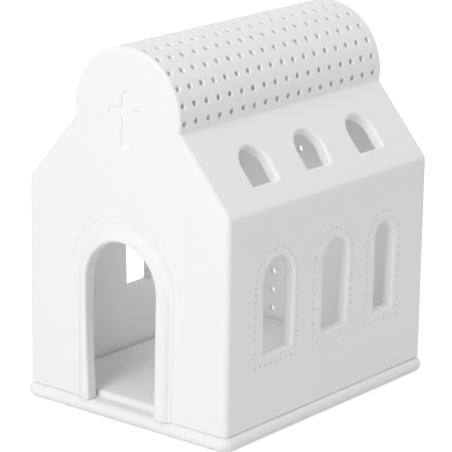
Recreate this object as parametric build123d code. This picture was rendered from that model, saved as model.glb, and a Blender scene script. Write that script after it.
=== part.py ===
from build123d import *
import math
import os

# Tealight house: a white bisque porcelain house that lifts off a porcelain plate with a tealight on it.
# Millimetres, +Z up. X runs across the gable front, -Y is the front with the doorway.
# The origin lies under the middle of the plate, on the table. House heights are taken from the plate's top.

# House, one hollow casting, open underneath
HOUSE_WIDTH = 107.0
HOUSE_LENGTH = 137.0
WALL = 4.7
EAVE_HEIGHT = 91.3
ROOF_RISE = 29.5
SHOULDER_LEDGE = 0.3
VAULT_RADIUS = 27.9
VAULT_CENTRE_RISE = 4.7
CORNER_ROUND = 2.4
EAVE_ROUND = 3.2
FOOT_BEVEL = 0.9
INNER_ROUND = 2.5
VAULT_END_BEVEL = 1.2

# Base plate with a raised pad that the house drops over
PLATE_MARGIN = 1.5
PLATE_THICKNESS = 6.1
PLATE_CORNER = 4.5
PLATE_EDGE_SHARE = 0.49
PAD_RISE = 2.4
PAD_CLEARANCE = 1.2
PAD_CORNER = 2.5
PAD_BEVEL = 0.7

# Doorway in the front wall; its jambs lean in a little towards the foot
DOOR_CENTRE = -1.4
DOOR_HALF_WIDTH = 18.9
DOOR_FOOT_HALF_WIDTH = 18.4
DOOR_SPRING_HEIGHT = 53.1
DOOR_BEVEL = 0.9

# Raised surround of the doorway: a bold roll beside the opening, and a low step outside it
ROLL_HEAD_BAND = 5.1
ROLL_FOOT_BAND = 5.0
ROLL_SPRING_DROP = 1.2
ROLL_PROUD = 2.2
ROLL_BEVEL = 1.0
STEP_HEAD_BAND = 4.0
STEP_FOOT_BAND = 3.6
STEP_SPRING_RISE = 0.9
STEP_PROUD = 0.8
STEP_BEVEL = 0.3

# Cross pressed into the gable, measured from its crossing
CROSS_CENTRE = -0.5
CROSS_RISE = 0.5
CROSS_BELOW = 14.9
CROSS_ABOVE = 9.0
CROSS_SPAN = 18.1
CROSS_STEM = 4.3
CROSS_ARM = 3.8
CROSS_DEPTH = 0.9

# Arched windows in the side walls, front to back
SIDE_WINDOW_PLACE_SHARES = (-0.2584, 0.0248, 0.2825)
FRONT_WINDOW_WIDTH = 19.8
MIDDLE_WINDOW_WIDTH = 17.3
REAR_WINDOW_WIDTH = 13.6
SIDE_SILL_HEIGHT = 29.4
SIDE_WINDOW_HEIGHT = 40.3
WINDOW_BEVEL = 0.7

# Arched windows in the roof slopes, measured up the slope from the eave
ROOF_WINDOW_PLACE_SHARES = (-0.2613, 0.0066, 0.2737)
ROOF_WINDOW_WIDTH = 16.4
ROOF_SILL_RUN = 10.6
ROOF_WINDOW_HEIGHT = 17.2

# Pierced vault: rows of holes round the curve
VAULT_ROWS = 13
VAULT_HOLE_PITCH = 7.5
VAULT_HOLE_DIAMETER = 2.9
VAULT_FRONT_MARGIN = 3.4
VAULT_BACK_MARGIN = 5.5
VAULT_HOLE_SIDES = 6
VAULT_FLAT_MARGIN = 0.2

# Round holes in the back wall that draw the outline of the doorway
BACK_HOLE_DIAMETER = 4.6
BACK_FIRST_HEIGHT = 6.7
BACK_HOLE_PITCH = 8.9
BACK_COLUMN_COUNT = 7
BACK_HOLE_SIDES = 8

# Tealight on the pad
CUP_DIAMETER = 38.0
CUP_HEIGHT = 16.0
CUP_SHEET = 0.4
CUP_FOOT_BEVEL = 0.8
CUP_BEAD = 0.45
WAX_GAP = 0.05
WAX_FREEBOARD = 2.2
WICK_DIAMETER = 1.5
WICK_STAND = 8.5
WICK_TIP_BEVEL = 0.3
TAB_DIAMETER = 12.5
TAB_SHEET = 0.35
TAB_NECK_DIAMETER = 3.2
TAB_NECK_HEIGHT = 3.6
TEALIGHT_X = 0.0
TEALIGHT_Y = -12.8

# One overrun for every cut
OVERRUN = 3.0

half_width = HOUSE_WIDTH / 2
half_length = HOUSE_LENGTH / 2
seat = PLATE_THICKNESS
eave_z = seat + EAVE_HEIGHT
vault_z = eave_z + ROOF_RISE + VAULT_CENTRE_RISE
roof_angle = math.atan2(ROOF_RISE, half_width - VAULT_RADIUS - SHOULDER_LEDGE)
row_angles = [180 * row / (VAULT_ROWS - 1) for row in range(VAULT_ROWS)]
pad_z = PLATE_THICKNESS + PAD_RISE
roll_half_width = DOOR_HALF_WIDTH + ROLL_HEAD_BAND
roll_foot_half_width = DOOR_FOOT_HALF_WIDTH + ROLL_FOOT_BAND


def gable_body(inset, low_z, edge_round):
    """Walls and slopes as one prism along Y, moved inwards by inset, closed off inside the vault."""
    wall_x = half_width - inset
    slope_drop = inset * (1 - math.sin(roof_angle)) / math.cos(roof_angle)
    eave = (wall_x, eave_z - slope_drop)
    top = (wall_x - (vault_z - eave[1]) / math.tan(roof_angle), vault_z)
    right = [(wall_x, low_z), eave, top]
    left = [(-x, z) for x, z in reversed(right)]
    outline = make_face(Polyline(*right, *left, close=True))
    eaves = outline.vertices().group_by(Axis.Y)[1]
    outline = fillet(eaves, edge_round)
    return extrude(Plane.XZ * outline, amount=half_length - inset, both=True)


def hole_outline(diameter, sides):
    """A hole as a regular polygon with the area of the round hole."""
    corner_share = math.sqrt(2 * math.pi / (sides * math.sin(2 * math.pi / sides)))
    return RegularPolygon(corner_share * diameter / 2, sides)


def vault_body(inset, end_bevel):
    """The barrel vault as a full cylinder along Y. Each row of holes lies on a narrow flat,
    which keeps the holes' edges straight and stays within 0.1 mm of the round."""
    radius = VAULT_RADIUS - inset
    length = HOUSE_LENGTH - 2 * inset
    barrel = Cylinder(radius, length, rotation=(90, 0, 0))
    if end_bevel > 0:
        barrel = chamfer(barrel.edges().filter_by(GeomType.CIRCLE), end_bevel)
    half_flat = hole_outline(VAULT_HOLE_DIAMETER, VAULT_HOLE_SIDES).bounding_box().max.X + VAULT_FLAT_MARGIN
    flat_z = math.sqrt(radius**2 - half_flat**2)
    waste = Pos(0, 0, flat_z + OVERRUN / 2) * Box(2 * half_flat + OVERRUN, length + OVERRUN, OVERRUN)
    barrel = barrel - [Rot(0, 90 - angle, 0) * waste for angle in row_angles]
    return Pos(0, 0, vault_z) * barrel


def arch_face(half_foot, half_spring, spring):
    """Doorway outline from (0, 0): jambs from half_foot out to half_spring, and a round head."""
    head = ThreePointArc((half_spring, spring), (0, spring + half_spring), (-half_spring, spring))
    jambs = Polyline((-half_spring, spring), (-half_foot, 0), (half_foot, 0), (half_spring, spring))
    return make_face(head + jambs)


def front_plane(centre, proud):
    """A plane on the front wall, facing out, with its origin at the wall's foot."""
    return Plane(origin=(centre, -half_length - proud, seat), x_dir=(1, 0, 0), z_dir=(0, -1, 0))


def wall_cut(plane, face):
    """A face swept from outside a wall to inside it."""
    start = plane.offset(OVERRUN)
    return extrude(start * face, amount=-(WALL + 2 * OVERRUN))


def rim_edges(solid, plane, half_reach, high):
    """The edges of an opening that lie in a plane, from its foot up to high."""
    slack = WINDOW_BEVEL / 2

    def inside(point):
        local = plane.to_local_coords(point)
        flat = abs(local.Z) < slack / 10
        beside = abs(local.X) < half_reach + slack
        return flat and beside and -slack < local.Y < high + slack

    return ShapeList(e for e in solid.edges() if all(inside(e @ share) for share in (0, 0.3, 0.7, 1)))


def side_windows(side):
    """Sill plane, width and height of each window in one side wall; side is 1 or -1.
    The left wall is the right wall turned half round about Z."""
    widths = (FRONT_WINDOW_WIDTH, MIDDLE_WINDOW_WIDTH, REAR_WINDOW_WIDTH)
    for share, width in zip(SIDE_WINDOW_PLACE_SHARES, widths):
        middle = (side * half_width, side * share * HOUSE_LENGTH, seat + SIDE_SILL_HEIGHT)
        yield Plane(origin=middle, x_dir=(0, side, 0), z_dir=(side, 0, 0)), width, SIDE_WINDOW_HEIGHT


def roof_windows(side):
    """Sill plane, width and height of each window in one slope, square to the slope."""
    out = (side * math.sin(roof_angle), 0, math.cos(roof_angle))
    sill_x = half_width - ROOF_SILL_RUN * math.cos(roof_angle)
    sill_z = eave_z + ROOF_SILL_RUN * math.sin(roof_angle)
    for share in ROOF_WINDOW_PLACE_SHARES:
        middle = (side * sill_x, side * share * HOUSE_LENGTH, sill_z)
        yield Plane(origin=middle, x_dir=(0, side, 0), z_dir=out), ROOF_WINDOW_WIDTH, ROOF_WINDOW_HEIGHT


def vault_holes():
    """Radial holes in rows round the vault."""
    blank = extrude(hole_outline(VAULT_HOLE_DIAMETER, VAULT_HOLE_SIDES), amount=WALL + 2 * OVERRUN)
    start = VAULT_RADIUS - WALL - OVERRUN
    room = HOUSE_LENGTH - VAULT_FRONT_MARGIN - VAULT_BACK_MARGIN
    holes = []
    for angle in row_angles:
        for count in range(int(room / VAULT_HOLE_PITCH) + 1):
            place = -half_length + VAULT_FRONT_MARGIN + count * VAULT_HOLE_PITCH
            holes.append(Pos(0, place, vault_z) * Rot(0, 90 - angle, 0) * Pos(0, 0, start) * blank)
    return holes


def back_holes():
    """Holes through the back wall in two columns joined by a half-round arch, in line with
    the middle of the step round the doorway."""
    reach = roll_half_width + STEP_HEAD_BAND / 2
    spring = seat + BACK_FIRST_HEIGHT + (BACK_COLUMN_COUNT - 1) * BACK_HOLE_PITCH
    centres = []
    for count in range(BACK_COLUMN_COUNT):
        height = spring - count * BACK_HOLE_PITCH
        centres += [(-reach, height), (reach, height)]
    spaces = round(math.pi * reach / BACK_HOLE_PITCH)
    for count in range(1, spaces):
        angle = math.pi * count / spaces
        centres.append((reach * math.cos(angle), spring + reach * math.sin(angle)))
    back = Plane(origin=(0, half_length + OVERRUN, 0), x_dir=(1, 0, 0), z_dir=(0, -1, 0))
    blank = back * extrude(hole_outline(BACK_HOLE_DIAMETER, BACK_HOLE_SIDES), amount=WALL + 2 * OVERRUN)
    return [Pos(x, 0, z) * blank for x, z in centres]


def surround_layer(half_foot, half_spring, spring, proud, bevel):
    """One layer of the doorway's surround, rooted in the middle of the wall, with its front edge bevelled."""
    outline = front_plane(DOOR_CENTRE, -WALL / 2) * arch_face(half_foot, half_spring, spring)
    layer = extrude(outline, amount=WALL / 2 + proud)
    return chamfer(layer.faces().sort_by(Axis.Y)[0].edges(), bevel)


def surround():
    """The doorway's raised frame: a low step, and a bolder roll on it."""
    step_foot = roll_foot_half_width + STEP_FOOT_BAND
    step_half_width = roll_half_width + STEP_HEAD_BAND
    step_spring = DOOR_SPRING_HEIGHT + STEP_SPRING_RISE
    roll_spring = DOOR_SPRING_HEIGHT - ROLL_SPRING_DROP
    step = surround_layer(step_foot, step_half_width, step_spring, STEP_PROUD, STEP_BEVEL)
    roll = surround_layer(roll_foot_half_width, roll_half_width, roll_spring, ROLL_PROUD, ROLL_BEVEL)
    return step + roll


def cross():
    """Latin cross with rounded ends, sunk into the gable."""
    crossing = vault_z - seat + CROSS_RISE
    stem = SlotOverall(CROSS_BELOW + CROSS_ABOVE, CROSS_STEM, rotation=90)
    stem = Pos(0, crossing + (CROSS_ABOVE - CROSS_BELOW) / 2) * stem
    arm = Pos(0, crossing) * SlotOverall(CROSS_SPAN, CROSS_ARM)
    return extrude(front_plane(CROSS_CENTRE, -CROSS_DEPTH) * (stem + arm), amount=CROSS_DEPTH + OVERRUN)


def make_house_shell():
    """The porcelain house: walls, slopes and pierced vault in one even-walled casting."""
    walls = gable_body(0, seat, EAVE_ROUND)
    ends = walls.edges().filter_by(lambda e: abs(abs(e.center().Y) - half_length) < WALL / 100)
    outline = ends.filter_by(lambda e: seat + FOOT_BEVEL < e.center().Z < vault_z - FOOT_BEVEL)
    walls = fillet(outline, CORNER_ROUND)
    walls = chamfer(walls.faces().sort_by(Axis.Z)[0].edges(), FOOT_BEVEL)
    shell = walls + vault_body(0, VAULT_END_BEVEL) + surround()

    room = gable_body(WALL, seat - OVERRUN, INNER_ROUND)
    room = fillet(room.edges().filter_by(Axis.Z), INNER_ROUND)
    shell = shell - room - vault_body(WALL, 0)

    door = arch_face(DOOR_FOOT_HALF_WIDTH, DOOR_HALF_WIDTH, DOOR_SPRING_HEIGHT)
    below = Pos(0, -OVERRUN / 2) * Rectangle(2 * DOOR_FOOT_HALF_WIDTH, OVERRUN)
    shell = shell - wall_cut(front_plane(DOOR_CENTRE, ROLL_PROUD), door + below) - cross()
    door_top = DOOR_SPRING_HEIGHT + DOOR_HALF_WIDTH
    rim = rim_edges(shell, front_plane(DOOR_CENTRE, ROLL_PROUD), DOOR_HALF_WIDTH, door_top)
    shell = chamfer(rim, DOOR_BEVEL)
    for side in (1, -1):
        for plane, width, height in [*side_windows(side), *roof_windows(side)]:
            shell = shell - wall_cut(plane, arch_face(width / 2, width / 2, height - width / 2))
            shell = chamfer(rim_edges(shell, plane, width / 2, height), WINDOW_BEVEL)
    return shell - vault_holes() - back_holes()


def make_base_plate():
    """Plate with a round edge, and a low pad that keeps the house in place."""
    width = HOUSE_WIDTH + 2 * PLATE_MARGIN
    length = HOUSE_LENGTH + 2 * PLATE_MARGIN
    slab = extrude(RectangleRounded(width, length, PLATE_CORNER), amount=PLATE_THICKNESS)
    rims = slab.faces().sort_by(Axis.Z)[0].edges() + slab.faces().sort_by(Axis.Z)[-1].edges()
    slab = fillet(rims, PLATE_THICKNESS * PLATE_EDGE_SHARE)
    gap = WALL + PAD_CLEARANCE
    outline = RectangleRounded(HOUSE_WIDTH - 2 * gap, HOUSE_LENGTH - 2 * gap, PAD_CORNER)
    pad = extrude(Pos(0, 0, PLATE_THICKNESS / 2) * outline, amount=PLATE_THICKNESS / 2 + PAD_RISE)
    pad = chamfer(pad.faces().sort_by(Axis.Z)[-1].edges(), PAD_BEVEL)
    return slab + pad


def on_pad(solid):
    """Stand a piece of the tealight on the pad."""
    return Pos(TEALIGHT_X, TEALIGHT_Y, pad_z) * solid


def make_tealight_cup():
    """Pressed aluminium cup with a rolled bead at its rim."""
    radius = CUP_DIAMETER / 2 - CUP_BEAD / 2
    blank = extrude(Circle(radius), amount=CUP_HEIGHT - CUP_BEAD)
    blank = chamfer(blank.edges().sort_by(Axis.Z)[0], CUP_FOOT_BEVEL)
    bead = Pos(0, 0, CUP_HEIGHT - 2 * CUP_BEAD) * extrude(Circle(CUP_DIAMETER / 2), amount=2 * CUP_BEAD)
    bead = chamfer(bead.edges().sort_by(Axis.Z)[-1], CUP_BEAD / 3)
    inner = Pos(0, 0, CUP_SHEET) * extrude(Circle(radius - CUP_SHEET), amount=CUP_HEIGHT)
    inner = chamfer(inner.edges().sort_by(Axis.Z)[0], CUP_FOOT_BEVEL)
    return on_pad(blank + bead - inner)


def make_tealight_wax():
    """Wax fill, with the pocket that the wick and its tab leave."""
    height = CUP_HEIGHT - CUP_SHEET - WAX_FREEBOARD
    radius = CUP_DIAMETER / 2 - CUP_BEAD / 2 - CUP_SHEET - WAX_GAP
    fill = extrude(Circle(radius), amount=height)
    fill = chamfer(fill.edges().sort_by(Axis.Z)[0], CUP_FOOT_BEVEL)
    tab = extrude(Circle(TAB_DIAMETER / 2 + WAX_GAP), amount=TAB_SHEET + WAX_GAP)
    neck = extrude(Circle(TAB_NECK_DIAMETER / 2 + WAX_GAP), amount=TAB_SHEET + TAB_NECK_HEIGHT + WAX_GAP)
    wick = extrude(Circle(WICK_DIAMETER / 2 + WAX_GAP), amount=height)
    return on_pad(Pos(0, 0, CUP_SHEET) * (fill - tab - neck - wick))


def make_wick_tab():
    """Tinned tab that stands the wick up on the cup's floor."""
    tab = extrude(Circle(TAB_DIAMETER / 2), amount=TAB_SHEET)
    neck = extrude(Circle(TAB_NECK_DIAMETER / 2), amount=TAB_SHEET + TAB_NECK_HEIGHT)
    bore = Pos(0, 0, TAB_SHEET) * extrude(Circle(WICK_DIAMETER / 2 + WAX_GAP), amount=TAB_NECK_HEIGHT)
    return on_pad(Pos(0, 0, CUP_SHEET) * (tab + neck - bore))


def make_wick():
    """Braided cotton wick, from its tab up past the wax."""
    foot = CUP_SHEET + TAB_SHEET
    length = CUP_HEIGHT - WAX_FREEBOARD + WICK_STAND - foot
    stem = extrude(Circle(WICK_DIAMETER / 2), amount=length)
    stem = chamfer(stem.edges().sort_by(Axis.Z)[-1], WICK_TIP_BEVEL)
    return on_pad(Pos(0, 0, foot) * stem)


pieces = {
    "base_plate": make_base_plate,
    "house_shell": make_house_shell,
    "tealight_cup": make_tealight_cup,
    "tealight_wax": make_tealight_wax,
    "wick_tab": make_wick_tab,
    "wick": make_wick,
}

os.makedirs("parts", exist_ok=True)
for name, make in pieces.items():
    piece = make()
    piece.label = name
    export_step(piece, f"parts/{name}.step")
    print(name, round(piece.volume), "mm3")
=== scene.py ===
import bpy
import math
import numpy as np
from mathutils import Matrix, Vector
from mathutils.geometry import delaunay_2d_cdt


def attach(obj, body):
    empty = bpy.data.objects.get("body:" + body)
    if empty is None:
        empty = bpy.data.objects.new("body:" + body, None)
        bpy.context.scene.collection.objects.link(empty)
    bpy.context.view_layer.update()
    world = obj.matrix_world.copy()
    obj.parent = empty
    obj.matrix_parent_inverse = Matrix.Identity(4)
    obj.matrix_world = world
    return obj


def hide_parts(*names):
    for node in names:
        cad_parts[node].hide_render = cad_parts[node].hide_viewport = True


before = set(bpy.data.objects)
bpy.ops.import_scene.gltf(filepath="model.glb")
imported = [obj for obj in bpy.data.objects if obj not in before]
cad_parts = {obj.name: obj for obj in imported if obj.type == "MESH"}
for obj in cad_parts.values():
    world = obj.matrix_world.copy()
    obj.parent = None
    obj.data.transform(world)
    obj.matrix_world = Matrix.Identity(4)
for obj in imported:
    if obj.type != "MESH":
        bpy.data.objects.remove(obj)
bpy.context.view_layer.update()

# Base plate
# A slab of unglazed white porcelain with a round edge and a low raised pad inside the house's walls.
# It is cast in one piece and left matt; the house drops over the pad and stands on the ledge round it.
MILLIMETRE = 0.001
PLATE_HALF_X = 55.0
PLATE_HALF_Y = 70.0
PLATE_TOP = 6.1
PLATE_CORNER = 4.5
PLATE_EDGE = 2.99
PAD_HALF_X = 47.6
PAD_HALF_Y = 62.6
PAD_TOP = 8.5
PAD_CORNER = 2.5
PAD_EDGE = 1.5
PAD_FOOT = 0.3
CORNER_STEPS = 10
ROUND_STEPS = 6
WELD_STEP = 0.001
WELD_SHIFT = 0.1237
SHORTEST = 1e-12

PORCELAIN_LIGHT = (0.905, 0.905, 0.9, 1)
PORCELAIN_DARK = (0.885, 0.885, 0.878, 1)
PORCELAIN_ROUGHNESS = 0.78
ROUGHNESS_SPREAD = 0.12
PORCELAIN_GLOSS = 0.2
CLOUD_SCALE = 45.0
SPECK_SCALE = 900.0
GRAIN_SCALE = 2600.0
CLOUD_SHARE = 0.7
RELIEF_SHARES = (0.8, 0.07, 0.05)
RELIEF_BUMP = (0.5, 0.0004)


def unit(vectors):
    """Each vector divided by its own length."""
    return vectors / np.maximum(np.linalg.norm(vectors, axis=-1, keepdims=True), SHORTEST)


def around(angle):
    """Directions at these angles, as across and up."""
    return np.stack([np.cos(angle), np.sin(angle)], -1)


def added(name, data):
    """A new object of the scene with this mesh, camera or lamp."""
    thing = bpy.data.objects.new(name, data)
    bpy.context.collection.objects.link(thing)
    return thing


def grid_triangles(points, closed):
    """Two triangles for each cell of one or more grids; closed joins the last column to the first."""
    rows, columns = points.shape[-3:-1]
    cells = columns if closed else columns - 1
    row, column = np.meshgrid(np.arange(rows - 1), np.arange(cells), indexing="ij")
    beside = (column + 1) % columns
    a, b = row * columns + column, row * columns + beside
    c, d = a + columns, b + columns
    one = np.stack([np.stack([a, b, d], -1), np.stack([a, d, c], -1)]).reshape(-1, 3)
    grids = points.size // (3 * rows * columns)
    return (np.arange(grids)[:, None, None] * rows * columns + one).reshape(-1, 3)


class Skin:
    """The surface of one piece in millimetres, gathered patch by patch, with each point's true normal."""

    def __init__(self):
        self.points, self.normals, self.triangles, self.count = [], [], [], 0

    def add(self, points, normals, triangles):
        """Adds a patch; a triangle that is wound against its own normals is turned over."""
        points, normals = points.reshape(-1, 3), normals.reshape(-1, 3)
        corners = points[triangles]
        facing = np.cross(corners[:, 1] - corners[:, 0], corners[:, 2] - corners[:, 0])
        wrong = (facing * normals[triangles].sum(axis=1)).sum(axis=1) < 0
        triangles = np.where(wrong[:, None], triangles[:, ::-1], triangles)
        self.points.append(points)
        self.normals.append(normals)
        self.triangles.append(triangles + self.count)
        self.count += len(points)

    def add_grid(self, points, normals, closed=False):
        """Adds one or more grids of points of the same size."""
        self.add(points, normals, grid_triangles(points, closed))

    def welded(self):
        """Points that round to the same place become one, with their mean normal. The shift keeps whole
        numbers off the edge between two places."""
        points, normals = np.concatenate(self.points), np.concatenate(self.normals)
        keys = np.round(points / WELD_STEP + WELD_SHIFT).astype(np.int64)
        _, first, place = np.unique(keys, axis=0, return_index=True, return_inverse=True)
        place = place.reshape(-1)
        mean = np.zeros((len(first), 3))
        np.add.at(mean, place, normals)
        triangles = place[np.concatenate(self.triangles)]
        whole = (triangles != np.roll(triangles, 1, axis=1)).all(axis=1)
        return points[first], unit(mean), triangles[whole]

    def piece(self, name, finish):
        """The welded surface as a smooth Blender object with its own normals, in metres."""
        points, normals, triangles = self.welded()
        mesh = bpy.data.meshes.new(name)
        mesh.from_pydata((points * MILLIMETRE).tolist(), [], triangles.tolist())
        mesh.shade_smooth()
        mesh.normals_split_custom_set_from_vertices(normals.tolist())
        mesh.materials.append(finish)
        return added(name, mesh)


def rounded_rectangle(half_x, half_y, corner):
    """Outline of a rectangle whose corners are quarter circles, and each point's outward direction."""
    turn = np.tile(np.linspace(0, math.pi / 2, CORNER_STEPS + 1), 4)
    quarter = np.repeat(np.arange(4), CORNER_STEPS + 1)
    angle = turn + quarter * math.pi / 2
    side_x = np.array([1, -1, -1, 1])[quarter]
    side_y = np.array([1, 1, -1, -1])[quarter]
    out = around(angle)
    centre = np.stack([side_x * (half_x - corner), side_y * (half_y - corner)], -1)
    return centre + corner * out, out


def arc_steps(start, end, steps=ROUND_STEPS):
    """Cosine and sine of an angle that goes from start to end in degrees, pair by pair."""
    return around(np.radians(np.linspace(start, end, steps + 1)))


def carried_round(skin, half_x, half_y, corner, rows):
    """A profile carried round a rounded rectangle. Each row is an inset, a height, and the normal's outward
    and upward shares; the outline shrinks by the inset, corners included."""
    points, normals = [], []
    for inset, height, outward, upward in rows:
        outline, out = rounded_rectangle(half_x - inset, half_y - inset, max(corner - inset, 0.0))
        points.append(np.column_stack([outline, np.full(len(outline), height)]))
        normals.append(np.column_stack([out * outward, np.full(len(out), upward)]))
    skin.add_grid(np.array(points), np.array(normals), closed=True)
    return points


def flat_cover(skin, outline, facing):
    """Closes a convex outline with a fan about its middle."""
    count = len(outline)
    points = np.vstack([outline, outline.mean(axis=0)])
    normals = np.tile(facing, (count + 1, 1))
    edge = np.arange(count)
    fan = np.column_stack([edge, (edge + 1) % count, np.full(count, count)])
    skin.add(points, normals.astype(float), fan)


class Shade:
    """A socket of a material. Python's signs on it add Math nodes, and node adds any other node."""

    def __init__(self, tree, socket=None):
        self.tree, self.socket = tree, socket

    def node(self, kind, settings, inputs, output=0):
        """Adds a node, sets its settings, then the values or links of its sockets."""
        node = self.tree.nodes.new(kind)
        for name, value in settings.items():
            setattr(node, name, value)
        for name, value in inputs.items():
            if isinstance(value, Shade):
                self.tree.links.new(value.socket, node.inputs[name])
            else:
                node.inputs[name].default_value = value
        return Shade(self.tree, node.outputs[output])

    def sum_node(self, operation, first, second):
        return self.node("ShaderNodeMath", {"operation": operation}, {0: first, 1: second})

    def __add__(self, other):
        return self.sum_node("ADD", self, other)

    def __sub__(self, other):
        return self.sum_node("SUBTRACT", self, other)

    def __mul__(self, other):
        return self.sum_node("MULTIPLY", self, other)

    __radd__, __rmul__ = __add__, __mul__

    def to(self, node, name):
        """Feeds this value to a socket of a node that is already there."""
        self.tree.links.new(self.socket, node.inputs[name])


def new_finish(name, **even):
    """A material with these values on its main shader all over. Gives it, its shade to build from, that
    shader, and the place on the piece in metres."""
    material = bpy.data.materials.new(name)
    material.use_nodes = True
    surface = material.node_tree.nodes["Principled BSDF"]
    for socket, value in even.items():
        surface.inputs[socket.replace("_", " ")].default_value = value
    shade = Shade(material.node_tree)
    return material, shade, surface, shade.node("ShaderNodeTexCoord", {}, {}, output="Object")


def coloured(shade, surface, factor, first, second):
    """Gives the shader a colour between these two, by a factor."""
    inputs = {"Factor": factor, 6: first, 7: second}
    shade.node("ShaderNodeMix", {"data_type": "RGBA"}, inputs, output=2).to(surface, "Base Color")


def noise(shade, place, scale, detail=2.0):
    """Soft noise with this many grains to the metre."""
    return shade.node("ShaderNodeTexNoise", {}, {"Vector": place, "Scale": scale, "Detail": detail})


def bumped(shade, surface, height, strength, depth):
    """Tilts the shader's normal by a height that goes from 0 to this many metres."""
    inputs = {"Strength": strength, "Distance": depth, "Height": height}
    shade.node("ShaderNodeBump", {}, inputs, output="Normal").to(surface, "Normal")


porcelain, shade, surface, place = new_finish("bisque_porcelain", Specular_IOR_Level=PORCELAIN_GLOSS)
cloud = noise(shade, place, CLOUD_SCALE)
speck = noise(shade, place, SPECK_SCALE, detail=3.0)
fine_grain = noise(shade, place, GRAIN_SCALE)
mottle = cloud * CLOUD_SHARE + speck * (1 - CLOUD_SHARE)
coloured(shade, surface, mottle, PORCELAIN_DARK, PORCELAIN_LIGHT)
(PORCELAIN_ROUGHNESS + (cloud - 0.5) * ROUGHNESS_SPREAD).to(surface, "Roughness")
relief = cloud * RELIEF_SHARES[0] + speck * RELIEF_SHARES[1] + fine_grain * RELIEF_SHARES[2]
bumped(shade, surface, relief, *RELIEF_BUMP)

plate_skin = Skin()
edge_turn = arc_steps(-90, 90, 2 * ROUND_STEPS)
edge_rows = [(PLATE_EDGE * (1 - c), PLATE_TOP / 2 + (PLATE_TOP / 2) * s, c, s) for c, s in edge_turn]
edge_rings = carried_round(plate_skin, PLATE_HALF_X, PLATE_HALF_Y, PLATE_CORNER, edge_rows)
flat_cover(plate_skin, edge_rings[0], (0, 0, -1))
pad_turn = arc_steps(0, 90)
pad_rows = [(-PAD_FOOT * (1 - s), PLATE_TOP + PAD_FOOT * (1 - c), s, c) for c, s in pad_turn]
pad_rows += [(PAD_EDGE * (1 - c), PAD_TOP - PAD_EDGE * (1 - s), c, s) for c, s in pad_turn]
pad_rings = carried_round(plate_skin, PAD_HALF_X, PAD_HALF_Y, PAD_CORNER, pad_rows)
flat_cover(plate_skin, pad_rings[-1], (0, 0, 1))
ledge = np.stack([edge_rings[-1], pad_rings[0]])
plate_skin.add_grid(ledge, np.broadcast_to((0.0, 0.0, 1.0), ledge.shape), closed=True)
base_plate = plate_skin.piece("porcelain_plate", porcelain)
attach(base_plate, "plate")
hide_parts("base_plate")

# House
# One hollow casting of unglazed white porcelain, open underneath: walls, two slopes and a barrel vault.
# Windows, doorway and rows of holes are cut through the wet clay, the dots round the windows are pricked
# with a blunt point, and the doorway's surround is raised. It drops over the pad and lifts straight off.
HALF_X = 53.5
HALF_Y = 68.5
WALL = 4.7
SEAT = PLATE_TOP
EAVE_Z = 97.4
VAULT_Z = 131.6
VAULT_RADIUS = 27.84
SLOPE_RISE = 29.5
SLOPE_RUN = 25.3
ROOF_ANGLE = math.atan2(SLOPE_RISE, SLOPE_RUN)
EAVE_ROUND = 3.2
INNER_EAVE_ROUND = 2.6
VALLEY_ROUND = 1.6
CORNER_ROUND = 2.4
VAULT_END_ROUND = 1.5
INNER_CORNER_ROUND = 2.0
INNER_END_ROUND = 0.4
FOOT_ROUND = 1.0
FOOT_ROWS = FOOT_ROUND * (1 - np.cos(np.radians([0, 22, 45, 67, 90])))
TABLE_STEP = 0.01
JOIN_WITHIN = 1e-6


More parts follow.
